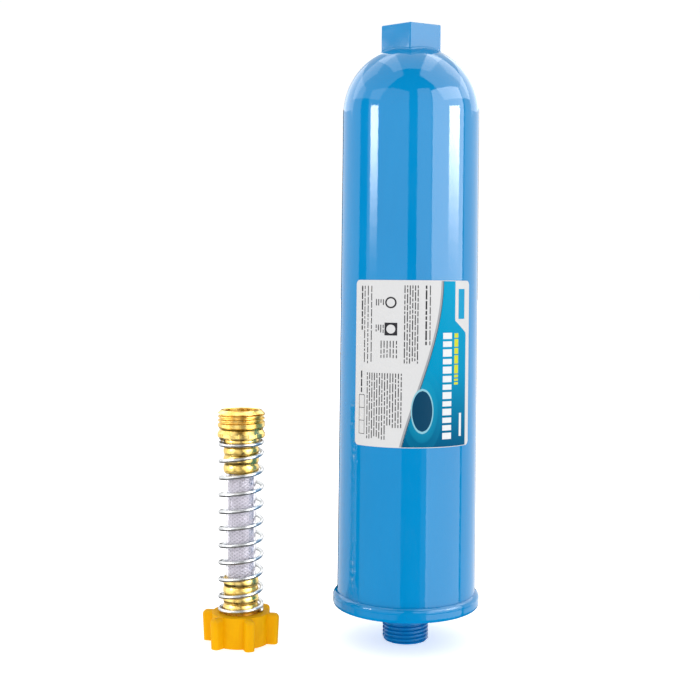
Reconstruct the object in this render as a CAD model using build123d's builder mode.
"""Inline drinking-water filter for a caravan hose, with its flexible hose protector.

Millimetres, +Z up. The origin is the centre of the filter's outlet end, where the filter stands.
The filter is a domed bottle with a female hose thread on top and a male one below. The protector
stands beside it: a winged swivel nut, a braided hose in a coil spring and a male hose end.
"""

import os
from math import acos, degrees, radians, sqrt, tan

from build123d import *

os.makedirs("parts", exist_ok=True)

# ---------------------------------------------------------------- driving dimensions
# hose thread, 3/4-11.5 NH
thread_pitch = 25.4 / 11.5
thread_root_flat = 0.35
thread_crest_flat = 0.5
male_crest_radius = 13.3
female_crest_radius = 12.35
female_sleeve_radius = 14.6
groove_overshoot = 0.3
thread_runout = 1.2
pin_land_radius = 13.5
entry_radius = 13.85
entry_depth = 2.0
washer_radius = 12.7
washer_hole_radius = 7.95
washer_thickness = 2.7
washer_chamber_radius = 13.1
washer_play = 0.1

# filter bottle
filter_height = 351.3
flange_bottom = 20.7
flange_band_top = 25.7
flange_top = 29.1
flange_step = 2.3
flange_wall = 3.0
flange_edge_round = 2.0
shoulder_bulge_in = 0.2
shoulder_bulge_up = 0.65
body_bottom_radius = 40.0
body_draft = 1.35
bottle_wall = 3.0
hex_stand = 9.95
hex_across_flats = 33.0
hex_turn = 5.46
hex_corner_round = 1.0
hex_base_round = 1.6
hex_top_round = 0.7
socket_depth = 13.0
socket_floor_wall = 3.8
inlet_passage_radius = 8.0

# end cap, welded into the bottle's flange
cap_thickness = 4.0
cap_recess_depth = 2.7
weld_gap = 0.05
cap_skirt_height = 6.0
cap_skirt_wall = 2.0
outlet_radius = 8.5
outlet_thread_height = 13.6
outlet_chamfer = 1.1
cap_rib_count = 12
cap_rib_width = 2.2
cap_rib_height = 1.8
cap_rib_start = 16.0
cap_rib_margin = 0.6
carrier_rib_count = 8
carrier_rib_height = 3.0

# what the bottle holds, from the outlet up
grid_thickness = 2.6
grid_hole_radius = 1.6
grid_ring_step = 5.6
screen_thickness = 0.4
pad_thickness = 8.0
separator_thickness = 6.0
kdf_depth = 12.0
fill_gap = 0.15
dome_grid_clearance = 0.75

# label, on the bottle's front
label_bottom = 117.5
label_height = 91.4
label_left = -50.2
label_right = 54.9
label_thickness = 0.15
label_gap = 0.02
label_corner = 2.7

# hose protector
protector_x = -95.5
protector_y = -8.0
nut_height = 17.6
nut_radius = 16.4
nut_lip = 3.2
nut_lip_hole_radius = 10.6
wing_count = 6
wing_turn = -70.0
wing_tip_top = 22.7
wing_tip_bottom = 21.8
wing_width = 5.6
wing_tip_round = 2.6
wing_corner_round = 2.2
wing_overlap = 1.5
swivel_gap = 0.1
nut_top_gap = 0.3
neck_radius = 10.1
tail_flange_radius = 12.4
tail_flange_thickness = 1.7
waterway_radius = 4.9

hose_bore_radius = 6.2
liner_wall = 0.9
braid_wall = 0.3
cover_wall = 1.0
layer_gap = 0.05
hose_clear_of_fitting = 0.3
shank_clearance = 0.06
barb_depth = 0.5
barb_pitch = 3.4
barb_land_share = 0.4
shank_length = 18.0
ferrule_length = 20.2
ferrule_clearance = 0.06
ferrule_ridge_radius = 10.2
ferrule_groove_radius = 9.5
ferrule_ridges = 4
hose_exposed = 60.3

male_end_height = 15.9
collar_radius = 13.6
collar_height = 2.6
collar_edge = 0.7
waist_radius = 12.3
waist_height = 4.6
thread_start_height = 6.4
thread_lead_in = 0.7
lip_height = 1.9
lip_radius = 11.9
lip_edge = 0.4
lip_arc_share = 0.3
male_end_crest_radius = 13.5
male_end_bore_radius = 10.25
male_end_floor = 2.6
collar_mark_count = 16
collar_mark_radius = 0.5
collar_mark_depth = 0.35

wire_radius = 1.1
coil_radius = 12.0
coil_start_angle = -15.0
spring_end_gap = 0.3
closed_coil_rise = 2.4
flat_turn_rise = 0.3
flat_turns = 0.54
rising_turns = 0.46
active_turns = 9.54
closing_turns = 1.07

# ---------------------------------------------------------------- sizes that follow
flange_radius = body_bottom_radius + flange_step
flange_shoulder = flange_top - flange_band_top
cap_recess_radius = flange_radius - flange_wall
dome_radius = body_bottom_radius - body_draft
dome_centre = filter_height - hex_stand - dome_radius
body_taper = body_draft / (dome_centre - flange_top)

thread_mouth = thread_pitch - thread_crest_flat
thread_depth = (thread_mouth - thread_root_flat) / 2 / tan(radians(30))

bore_bottom_radius = body_bottom_radius - bottle_wall
bore_top_radius = dome_radius - bottle_wall

socket_floor = filter_height - socket_depth
dome_ceiling = socket_floor - socket_floor_wall
dome_ceiling_radius = sqrt(bore_top_radius**2 - (dome_ceiling - dome_centre) ** 2)

cap_bottom = flange_bottom + cap_recess_depth
cap_top = cap_bottom + cap_thickness
cap_radius = cap_recess_radius - weld_gap
skirt_radius = bore_bottom_radius - fill_gap
skirt_bore_radius = skirt_radius - cap_skirt_wall

outlet_grid_bottom = cap_top + carrier_rib_height
outlet_screen_bottom = outlet_grid_bottom + grid_thickness
outlet_pad_bottom = max(cap_top + cap_skirt_height, outlet_screen_bottom + screen_thickness)
carbon_bottom = outlet_pad_bottom + pad_thickness
dome_grid_radius = bore_top_radius - dome_grid_clearance
grid_rise = sqrt(bore_top_radius**2 - (dome_grid_radius + fill_gap) ** 2)
inlet_grid_top = dome_centre + grid_rise
inlet_grid_bottom = inlet_grid_top - grid_thickness
inlet_screen_bottom = inlet_grid_bottom - screen_thickness
inlet_pad_bottom = inlet_screen_bottom - pad_thickness
kdf_bottom = inlet_pad_bottom - kdf_depth
separator_bottom = kdf_bottom - separator_thickness

tail_flange_top = nut_height - nut_lip - swivel_gap
tail_flange_bottom = tail_flange_top - tail_flange_thickness
nut_washer_bottom = tail_flange_bottom - swivel_gap - washer_thickness
neck_top = nut_height + nut_top_gap
male_end_bottom = neck_top + 2 * ferrule_length + hose_exposed
male_end_top = male_end_bottom + male_end_height
hose_bottom = neck_top + hose_clear_of_fitting
hose_top = male_end_bottom - hose_clear_of_fitting
braid_bore_radius = hose_bore_radius + liner_wall + layer_gap
cover_bore_radius = braid_bore_radius + braid_wall + layer_gap
hose_radius = cover_bore_radius + cover_wall
shank_radius = hose_bore_radius - shank_clearance

coil_bottom = nut_height + spring_end_gap + wire_radius
coil_top = male_end_bottom - spring_end_gap - wire_radius
closing_pitch = closed_coil_rise
active_pitch = (coil_top - coil_bottom - closed_coil_rise - closing_pitch * closing_turns) / active_turns

filter_axis_point = (0, 0)
protector_axis_point = (protector_x, protector_y)
protector_axis = Axis((*protector_axis_point, 0), (0, 0, 1))
protector_section = Plane(origin=(*protector_axis_point, 0), x_dir=(1, 0, 0), z_dir=(0, -1, 0))
protector_base = Plane(origin=(*protector_axis_point, 0))


def body_radius_at(height):
    """The bottle's outer radius at a height, which narrows evenly up to the dome."""
    return body_bottom_radius - body_taper * (height - flange_top)


def bore_radius_at(height):
    """The bottle's inner radius at a height, which narrows evenly up to the dome."""
    return body_radius_at(height) - bottle_wall


def threaded_sleeve(outline, axis_point, crest_radius, groove_bottom, groove_top, hole=False):
    """Revolve an (r, z) outline and cut a helical V into its wall, from outside or inside."""
    inward = 1 if hole else -1
    flank = tan(radians(30))
    mouth_half = thread_mouth / 2 + groove_overshoot * flank
    start = (axis_point[0] + crest_radius, axis_point[1], groove_bottom)
    with BuildPart() as groove:
        with BuildLine():
            Helix(thread_pitch, groove_top - groove_bottom, crest_radius, center=(*axis_point, groove_bottom))
        with BuildSketch(Plane(origin=start, x_dir=(1, 0, 0), z_dir=(0, -1, 0))):
            Polygon(
                (-inward * groove_overshoot, -mouth_half),
                (inward * thread_depth, -thread_root_flat / 2),
                (inward * thread_depth, thread_root_flat / 2),
                (-inward * groove_overshoot, mouth_half),
                align=None,
            )
        sweep(is_frenet=True)
    with BuildPart() as sleeve:
        with BuildSketch(Plane(origin=(*axis_point, 0), x_dir=(1, 0, 0), z_dir=(0, -1, 0))):
            Polygon(*outline, align=None)
        revolve(axis=Axis((*axis_point, 0), (0, 0, 1)))
        add(groove.part, mode=Mode.SUBTRACT)
    return sleeve.part


def female_thread_outline(bottom, top):
    """The plain ring that a female thread is cut into, between its crests and the wall around it."""
    return (
        (female_crest_radius, bottom),
        (female_sleeve_radius, bottom),
        (female_sleeve_radius, top),
        (female_crest_radius, top),
    )


def perforated_disc(radius, bottom, thickness):
    """A round grid with rings of holes about a central one."""
    rings = int((radius - 2 * grid_hole_radius) / grid_ring_step)
    with BuildPart() as disc:
        with BuildSketch(Plane.XY.offset(bottom)):
            Circle(radius)
            Circle(grid_hole_radius, mode=Mode.SUBTRACT)
            for ring in range(1, rings + 1):
                with PolarLocations(ring * grid_ring_step, 6 * ring):
                    Circle(grid_hole_radius, mode=Mode.SUBTRACT)
        extrude(amount=thickness)
    return disc.part


def plug_in_bore(bottom, top):
    """A solid plug that fills the bottle's tapered bore between two heights."""
    with BuildPart() as plug:
        with BuildSketch(Plane.XZ):
            Polygon(
                (0, bottom),
                (bore_radius_at(bottom) - fill_gap, bottom),
                (bore_radius_at(top) - fill_gap, top),
                (0, top),
                align=None,
            )
        revolve(axis=Axis.Z)
    return plug.part


def washer(axis_plane, axis, bottom):
    """A flat rubber hose washer."""
    with BuildPart() as ring:
        with BuildSketch(axis_plane):
            Polygon(
                (washer_hole_radius, bottom),
                (washer_radius, bottom),
                (washer_radius, bottom + washer_thickness),
                (washer_hole_radius, bottom + washer_thickness),
                align=None,
            )
        revolve(axis=axis)
    return ring.part


def hose_tube(inner, wall):
    """One layer of the protector's hose."""
    with BuildPart() as tube:
        with BuildSketch(protector_base.offset(hose_bottom)):
            Circle(inner + wall)
            Circle(inner, mode=Mode.SUBTRACT)
        extrude(amount=hose_top - hose_bottom)
    return tube.part


def ferrule(bottom):
    """A brass sleeve crimped over the hose, with rounded ridges between the crimps."""
    inner = hose_radius + ferrule_clearance
    ridge = ferrule_length / ferrule_ridges
    with BuildPart() as sleeve:
        with BuildSketch(protector_section):
            with BuildLine():
                for index in range(ferrule_ridges):
                    low = bottom + index * ridge
                    ThreePointArc(
                        (ferrule_groove_radius, low),
                        (ferrule_ridge_radius, low + ridge / 2),
                        (ferrule_groove_radius, low + ridge),
                    )
                Polyline(
                    (ferrule_groove_radius, bottom + ferrule_length),
                    (inner, bottom + ferrule_length),
                    (inner, bottom),
                    (ferrule_groove_radius, bottom),
                )
            make_face()
        revolve(axis=protector_axis)
    return sleeve.part


def barbs(mouth, tip):
    """Outline points of a barbed shank, from its mouth to its tip inside the hose."""
    way = 1 if tip > mouth else -1
    count = int(abs(tip - mouth) / barb_pitch)
    points = []
    for index in range(count):
        points.append((shank_radius, mouth + way * barb_pitch * index))
        points.append((shank_radius, mouth + way * barb_pitch * (index + barb_land_share)))
        points.append((shank_radius - barb_depth, mouth + way * barb_pitch * (index + 1)))
    points.append((shank_radius - barb_depth, tip))
    return points


# ---------------------------------------------------------------- the filter
# Bottle: tapered wall, hemispherical dome, hexagonal inlet and flared weld flange in one moulding.
inlet_thread_bottom = socket_floor + washer_thickness + washer_play
inlet_thread_top = filter_height - entry_depth
inlet_thread = threaded_sleeve(
    female_thread_outline(inlet_thread_bottom, inlet_thread_top),
    filter_axis_point,
    female_crest_radius,
    inlet_thread_bottom + thread_runout,
    inlet_thread_top + thread_pitch,
    hole=True,
)
with BuildPart() as housing:
    with BuildSketch(Plane.XZ):
        with BuildLine():
            Polyline((0, flange_bottom), (flange_radius, flange_bottom), (flange_radius, flange_band_top))
            ThreePointArc(
                (flange_radius, flange_band_top),
                (flange_radius - shoulder_bulge_in * flange_step, flange_band_top + shoulder_bulge_up * flange_shoulder),
                (body_bottom_radius, flange_top),
            )
            Line((body_bottom_radius, flange_top), (dome_radius, dome_centre))
            CenterArc((0, dome_centre), dome_radius, 0, 90)
            Line((0, dome_centre + dome_radius), (0, flange_bottom))
        make_face()
    revolve(axis=Axis.Z)
    rim = housing.edges().filter_by(GeomType.CIRCLE).group_by(Axis.Z)[0]
    fillet(rim, radius=flange_edge_round)
    with BuildSketch(Plane.XY.offset(dome_ceiling)) as hexagon:
        with Locations(Rotation(0, 0, -90 - hex_turn)):
            RegularPolygon(hex_across_flats / 2, 6, major_radius=False)
        fillet(hexagon.vertices(), radius=hex_corner_round)
    extrude(amount=filter_height - dome_ceiling)
    curved = housing.edges().filter_by(GeomType.LINE, reverse=True)
    fillet(curved.filter_by_position(Axis.Z, dome_ceiling, dome_centre + dome_radius), radius=hex_base_round)
    hexagon_top = housing.faces().sort_by(Axis.Z)[-1]
    fillet(hexagon_top.edges(), radius=hex_top_round)
    with BuildSketch(Plane.XZ):
        with BuildLine():
            Polyline(
                (0, flange_bottom),
                (cap_recess_radius, flange_bottom),
                (cap_recess_radius, cap_top),
                (bore_radius_at(cap_top), cap_top),
                (bore_top_radius, dome_centre),
            )
            ceiling_angle = degrees(acos(dome_ceiling_radius / bore_top_radius))
            CenterArc((0, dome_centre), bore_top_radius, 0, ceiling_angle)
            Polyline((dome_ceiling_radius, dome_ceiling), (0, dome_ceiling), (0, flange_bottom))
        make_face()
    revolve(axis=Axis.Z, mode=Mode.SUBTRACT)
    with BuildSketch(Plane.XZ):
        Polygon(
            (0, dome_ceiling),
            (inlet_passage_radius, dome_ceiling),
            (inlet_passage_radius, socket_floor),
            (washer_chamber_radius, socket_floor),
            (washer_chamber_radius, inlet_thread_bottom),
            (female_sleeve_radius, inlet_thread_bottom),
            (female_sleeve_radius, inlet_thread_top),
            (entry_radius, inlet_thread_top),
            (entry_radius, filter_height),
            (0, filter_height),
            align=None,
        )
    revolve(axis=Axis.Z, mode=Mode.SUBTRACT)
    add(inlet_thread)
housing.part.label = "housing"
export_step(housing.part, "parts/housing.step")

# End cap: disc, skirt and male outlet in one moulding, with ribs on both faces of the disc.
outlet_thread = threaded_sleeve(
    (
        (outlet_radius, 0),
        (male_crest_radius - outlet_chamfer, 0),
        (male_crest_radius, outlet_chamfer),
        (male_crest_radius, outlet_thread_height),
        (outlet_radius, outlet_thread_height),
    ),
    filter_axis_point,
    male_crest_radius,
    -thread_pitch,
    outlet_thread_height - thread_runout,
)
with BuildPart() as end_cap:
    with BuildSketch(Plane.XZ):
        Polygon(
            (outlet_radius, outlet_thread_height),
            (male_crest_radius, outlet_thread_height),
            (pin_land_radius, outlet_thread_height + pin_land_radius - male_crest_radius),
            (pin_land_radius, cap_bottom),
            (cap_radius, cap_bottom),
            (cap_radius, cap_top),
            (skirt_radius, cap_top),
            (skirt_radius, cap_top + cap_skirt_height),
            (skirt_bore_radius, cap_top + cap_skirt_height),
            (skirt_bore_radius, cap_top),
            (outlet_radius, cap_top),
            align=None,
        )
    revolve(axis=Axis.Z)
    add(outlet_thread)
    with BuildSketch(Plane.XY.offset(cap_bottom)):
        rib_length = cap_radius - cap_rib_margin - cap_rib_start
        with PolarLocations(cap_rib_start + rib_length / 2, cap_rib_count):
            Rectangle(rib_length, cap_rib_width)
    extrude(amount=-cap_rib_height)
    with BuildSketch(Plane.XY.offset(cap_top)):
        carrier_length = skirt_bore_radius - outlet_radius
        with PolarLocations(outlet_radius + carrier_length / 2, carrier_rib_count):
            Rectangle(carrier_length, cap_rib_width)
    extrude(amount=carrier_rib_height)
end_cap.part.label = "end_cap"
export_step(end_cap.part, "parts/end_cap.step")

inlet_washer = washer(Plane.XZ, Axis.Z, socket_floor)
inlet_washer.label = "inlet_washer"
export_step(inlet_washer, "parts/inlet_washer.step")

# The fill, from the outlet up: each layer stands on the one below.
outlet_grid = perforated_disc(skirt_bore_radius - fill_gap, outlet_grid_bottom, grid_thickness)
outlet_grid.label = "outlet_grid"
export_step(outlet_grid, "parts/outlet_grid.step")

with BuildPart() as outlet_screen:
    with BuildSketch(Plane.XY.offset(outlet_screen_bottom)):
        Circle(skirt_bore_radius - fill_gap)
    extrude(amount=outlet_pad_bottom - outlet_screen_bottom)
outlet_screen.part.label = "outlet_screen"
export_step(outlet_screen.part, "parts/outlet_screen.step")

outlet_pad = plug_in_bore(outlet_pad_bottom, carbon_bottom)
outlet_pad.label = "outlet_pad"
export_step(outlet_pad, "parts/outlet_pad.step")

carbon_bed = plug_in_bore(carbon_bottom, separator_bottom)
carbon_bed.label = "carbon_bed"
export_step(carbon_bed, "parts/carbon_bed.step")

separator_pad = plug_in_bore(separator_bottom, kdf_bottom)
separator_pad.label = "separator_pad"
export_step(separator_pad, "parts/separator_pad.step")

kdf_bed = plug_in_bore(kdf_bottom, inlet_pad_bottom)
kdf_bed.label = "kdf_bed"
export_step(kdf_bed, "parts/kdf_bed.step")

inlet_pad_radius = min(bore_radius_at(inlet_pad_bottom), bore_top_radius) - 2 * fill_gap
with BuildPart() as inlet_pad:
    with BuildSketch(Plane.XY.offset(inlet_pad_bottom)):
        Circle(inlet_pad_radius)
    extrude(amount=pad_thickness)
    fillet(inlet_pad.faces().sort_by(Axis.Z)[-1].edges(), radius=inlet_pad_radius - dome_grid_radius)
inlet_pad.part.label = "inlet_pad"
export_step(inlet_pad.part, "parts/inlet_pad.step")

with BuildPart() as inlet_screen:
    with BuildSketch(Plane.XY.offset(inlet_screen_bottom)):
        Circle(dome_grid_radius)
    extrude(amount=screen_thickness)
inlet_screen.part.label = "inlet_screen"
export_step(inlet_screen.part, "parts/inlet_screen.step")

inlet_grid = perforated_disc(dome_grid_radius, inlet_grid_bottom, grid_thickness)
inlet_grid.label = "inlet_grid"
export_step(inlet_grid, "parts/inlet_grid.step")

# Label: a thin sheet wrapped on the tapered wall, its corners rounded.
with BuildPart() as label:
    label_top = label_bottom + label_height
    with BuildSketch(Plane.XZ.rotated((0, 0, label_left - 90))):
        inside_bottom = body_radius_at(label_bottom) + label_gap
        inside_top = body_radius_at(label_top) + label_gap
        Polygon(
            (inside_bottom, label_bottom),
            (inside_bottom + label_thickness, label_bottom),
            (inside_top + label_thickness, label_top),
            (inside_top, label_top),
            align=None,
        )
    revolve(axis=Axis.Z, revolution_arc=label_right - label_left)
    corners = label.edges().filter_by(lambda edge: edge.length < 2 * label_thickness)
    fillet(corners, radius=label_corner)
label.part.label = "label"
export_step(label.part, "parts/label.step")

# ---------------------------------------------------------------- the hose protector
# Swivel nut: a round core with six wings, a female thread below and a lip that holds the tailpiece.
nut_thread_top = nut_washer_bottom - washer_play
nut_thread = threaded_sleeve(
    female_thread_outline(entry_depth, nut_thread_top),
    protector_axis_point,
    female_crest_radius,
    entry_depth - thread_pitch,
    nut_thread_top - thread_runout,
    hole=True,
)
with BuildPart() as wing:
    with BuildSketch(Plane.XZ):
        with BuildLine():
            Polyline(
                (nut_radius - wing_overlap, 0),
                (wing_tip_bottom, 0),
                (wing_tip_top, nut_height),
                (nut_radius - wing_overlap, nut_height),
                close=True,
            )
        make_face()
    extrude(amount=wing_width / 2, both=True)
    tips = wing.faces().sort_by(Axis.X)[-1].edges()
    fillet(tips.filter_by(Axis.Y).sort_by(Axis.Z)[-1], radius=wing_tip_round)
    outer_reach = wing_tip_bottom - wing_overlap
    outer = wing.edges().filter_by(lambda edge: edge.length > wing_width and edge.center().X > outer_reach)
    fillet(outer, radius=wing_corner_round)
with BuildPart() as swivel_nut:
    with BuildSketch(protector_base):
        Circle(nut_radius)
    extrude(amount=nut_height)
    for index in range(wing_count):
        with Locations(Location((protector_x, protector_y, 0), (0, 0, wing_turn + index * 360 / wing_count))):
            add(wing.part)
    with BuildSketch(protector_section):
        Polygon(
            (0, 0),
            (entry_radius, 0),
            (entry_radius, entry_depth),
            (female_sleeve_radius, entry_depth),
            (female_sleeve_radius, nut_thread_top),
            (washer_chamber_radius, nut_thread_top),
            (washer_chamber_radius, nut_height - nut_lip),
            (nut_lip_hole_radius, nut_height - nut_lip),
            (nut_lip_hole_radius, nut_height),
            (0, nut_height),
            align=None,
        )
    revolve(axis=protector_axis, mode=Mode.SUBTRACT)
    add(nut_thread)
swivel_nut.part.label = "swivel_nut"
export_step(swivel_nut.part, "parts/swivel_nut.step")

nut_washer = washer(protector_section, protector_axis, nut_washer_bottom)
nut_washer.label = "nut_washer"
export_step(nut_washer, "parts/nut_washer.step")

# Tailpiece: the brass tube that the nut turns on, barbed inside the hose.
with BuildPart() as tailpiece:
    with BuildSketch(protector_section):
        Polygon(
            (waterway_radius, tail_flange_bottom),
            (tail_flange_radius, tail_flange_bottom),
            (tail_flange_radius, tail_flange_top),
            (neck_radius, tail_flange_top),
            (neck_radius, neck_top),
            *barbs(neck_top, neck_top + shank_length),
            (waterway_radius, neck_top + shank_length),
            align=None,
        )
    revolve(axis=protector_axis)
tailpiece.part.label = "tailpiece"
export_step(tailpiece.part, "parts/tailpiece.step")

lower_ferrule = ferrule(neck_top)
lower_ferrule.label = "lower_ferrule"
export_step(lower_ferrule, "parts/lower_ferrule.step")

upper_ferrule = ferrule(male_end_bottom - ferrule_length)
upper_ferrule.label = "upper_ferrule"
export_step(upper_ferrule, "parts/upper_ferrule.step")

# Hose: clear liner, polyester braid and clear cover.
hose_liner = hose_tube(hose_bore_radius, liner_wall)
hose_liner.label = "hose_liner"
export_step(hose_liner, "parts/hose_liner.step")

hose_braid = hose_tube(braid_bore_radius, braid_wall)
hose_braid.label = "hose_braid"
export_step(hose_braid, "parts/hose_braid.step")

hose_cover = hose_tube(cover_bore_radius, cover_wall)
hose_cover.label = "hose_cover"
export_step(hose_cover, "parts/hose_cover.step")

# Male end: collar over the spring, waist, rolled thread and lip, with its own barbed shank.
male_thread_bottom = male_end_bottom + thread_start_height
male_thread_top = male_end_top - lip_height
male_thread = threaded_sleeve(
    (
        (male_end_bore_radius, male_thread_bottom - thread_lead_in),
        (male_end_crest_radius - thread_lead_in, male_thread_bottom - thread_lead_in),
        (male_end_crest_radius, male_thread_bottom),
        (male_end_crest_radius, male_thread_top),
        (male_end_bore_radius, male_thread_top),
    ),
    protector_axis_point,
    male_end_crest_radius,
    male_thread_bottom + thread_runout,
    male_thread_top + thread_pitch / 2,
)
with BuildPart() as male_fitting:
    with BuildSketch(protector_section):
        Polygon(
            (waterway_radius, male_end_bottom - shank_length),
            *reversed(barbs(male_end_bottom, male_end_bottom - shank_length)),
            (collar_radius - collar_edge, male_end_bottom),
            (collar_radius, male_end_bottom + collar_edge),
            (collar_radius, male_end_bottom + collar_height),
            (waist_radius, male_end_bottom + waist_height),
            (male_end_crest_radius - thread_lead_in, male_thread_bottom - thread_lead_in),
            (male_end_bore_radius, male_thread_bottom - thread_lead_in),
            (male_end_bore_radius, male_end_bottom + male_end_floor),
            (waterway_radius, male_end_bottom + male_end_floor),
            align=None,
        )
    revolve(axis=protector_axis)
    add(male_thread)
    with BuildSketch(protector_section):
        with BuildLine():
            Polyline(
                (male_end_bore_radius, male_thread_top),
                (male_end_crest_radius, male_thread_top),
                (lip_radius, male_end_top - lip_edge),
            )
            ThreePointArc(
                (lip_radius, male_end_top - lip_edge),
                (lip_radius - lip_arc_share * lip_edge, male_end_top - lip_arc_share * lip_edge),
                (lip_radius - lip_edge, male_end_top),
            )
            Polyline(
                (lip_radius - lip_edge, male_end_top),
                (male_end_bore_radius + lip_edge, male_end_top),
                (male_end_bore_radius, male_end_top - lip_edge),
                (male_end_bore_radius, male_thread_top),
            )
        make_face()
    revolve(axis=protector_axis)
    with BuildSketch(protector_base.offset(male_end_bottom + collar_edge)):
        with PolarLocations(collar_radius + collar_mark_radius - collar_mark_depth, collar_mark_count):
            Circle(collar_mark_radius)
    extrude(amount=waist_height - collar_edge, mode=Mode.SUBTRACT)
male_fitting.part.label = "male_fitting"
export_step(male_fitting.part, "parts/male_fitting.step")

# Spring: open coils between two closed ends, in runs that meet in planes through the axis.
coil_runs = (
    (flat_turns, flat_turn_rise),
    (rising_turns, closed_coil_rise - flat_turn_rise),
    (active_turns, active_pitch * active_turns),
    (closing_turns, closing_pitch * closing_turns),
)
run_parts = []
run_turn = coil_start_angle
run_height = coil_bottom
for turns, rise in coil_runs:
    with BuildPart() as run:
        with BuildLine():
            Helix(rise / turns, rise, coil_radius)
        with BuildSketch(Plane(origin=(coil_radius, 0, 0), x_dir=(1, 0, 0), z_dir=(0, -1, 0))):
            Circle(wire_radius)
        sweep(is_frenet=True)
    run_parts.append(Pos(protector_x, protector_y, run_height) * Rot(0, 0, run_turn) * run.part)
    run_turn += 360 * turns
    run_height += rise
with BuildPart() as spring:
    for run_part in run_parts:
        add(run_part)
spring.part.label = "spring"
export_step(spring.part, "parts/spring.step")
